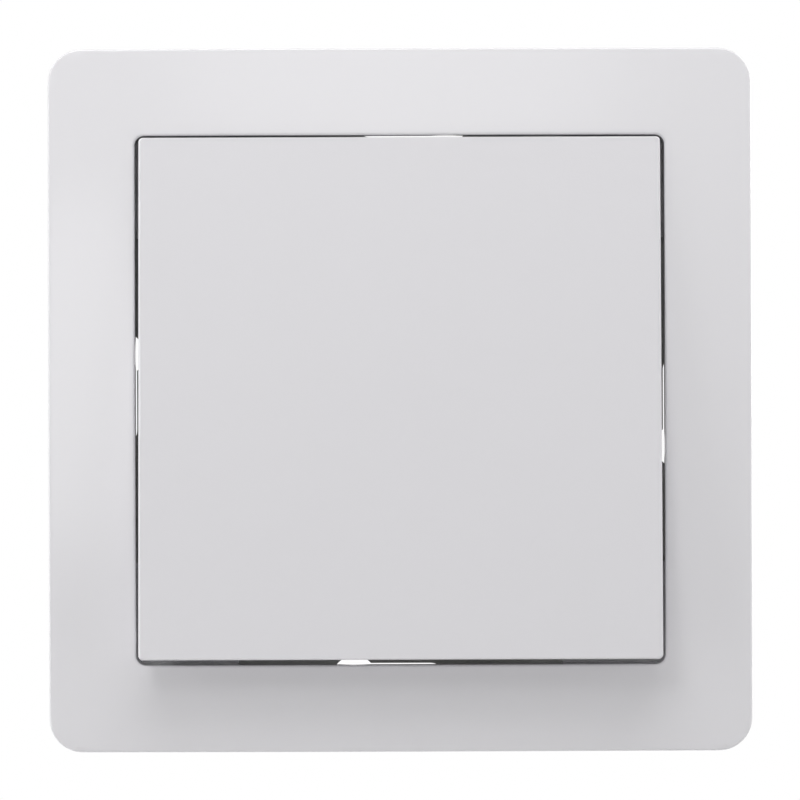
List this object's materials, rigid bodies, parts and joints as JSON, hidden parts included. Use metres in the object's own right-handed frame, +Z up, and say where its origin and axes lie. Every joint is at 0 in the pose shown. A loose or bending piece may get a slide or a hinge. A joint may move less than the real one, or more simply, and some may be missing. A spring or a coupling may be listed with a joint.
{
  "type": "push button light switch",
  "caption": "Flush square push button light switch: a rocking key in a rounded cover frame, sprung out at the bottom, on a steel plate with an insert for a round wall box.",
  "frame": {"origin": "centre of the support plate on the wall plane", "axes": "+X to the right and +Z up seen from the front, +Y into the wall"},
  "size_m": [0.081, 0.0337, 0.081],
  "materials": {
    "frame_white": "smooth glossy moulding",
    "button_white": "fine satin moulding",
    "zinc_plate": "zinc coated sheet steel",
    "base_grey": "dark moulded thermoset",
    "cover_grey": "light grey moulding",
    "natural_white": "uncoloured acetal moulding",
    "lever_orange": "coloured moulding",
    "contact_brass": "stamped and bent strip",
    "contact_silver": "silver alloy contact faces",
    "spring_steel": "bright spring steel",
    "rivet_metal": "rolled tubular rivet"
  },
  "bodies": {
    "insert": {"cover_frame": "frame_white", "support_plate": "zinc_plate", "bearing_cover": "cover_grey", "insert_base": "base_grey", "tubular_rivets": "rivet_metal", "line_contact": "contact_brass", "load_contact": "contact_brass", "fixed_contact_tips": "contact_silver", "return_spring": "spring_steel", "load_clamp_upper": "spring_steel", "load_clamp_lower": "spring_steel", "line_clamp_upper": "spring_steel", "line_clamp_lower": "spring_steel"},
    "rocker": {"rocker_button": "button_white", "rocker_carrier": "natural_white"},
    "plunger": {"contact_plunger": "natural_white", "contact_bridge": "contact_brass", "bridge_contact_tips": "contact_silver", "contact_spring": "spring_steel"},
    "load_lever": {"load_release_lever": "lever_orange"},
    "line_lever": {"line_release_lever": "lever_orange"}
  },
  "joints": [
    {"name": "rocker_tilt", "type": "hinge", "parent": "insert", "child": "rocker", "pos_m": [0, -0.006, 0], "axis": [1, 0, 0], "range_deg": [0, 6], "stiffness_Nm_per_rad": 0.35, "springref_deg": -6.88, "deforming": ["return_spring"]},
    {"name": "plunger_slide", "type": "slide", "parent": "insert", "child": "plunger", "axis": [0, 1, 0], "range_m": [0, 0.00115], "deforming": ["return_spring"]},
    {"name": "load_release", "type": "slide", "parent": "insert", "child": "load_lever", "axis": [0, -1, 0], "range_m": [0, 0.0015], "stiffness_N_per_m": 1500, "springref_m": -0.001, "deforming": ["load_clamp_upper", "load_clamp_lower"]},
    {"name": "line_release", "type": "slide", "parent": "insert", "child": "line_lever", "axis": [0, -1, 0], "range_m": [0, 0.0015], "stiffness_N_per_m": 1500, "springref_m": -0.001, "deforming": ["line_clamp_upper", "line_clamp_lower"]}
  ],
  "couplings": [
    {"joint": "plunger_slide", "follows": "rocker_tilt", "m_per_rad": 0.011}
  ]
}
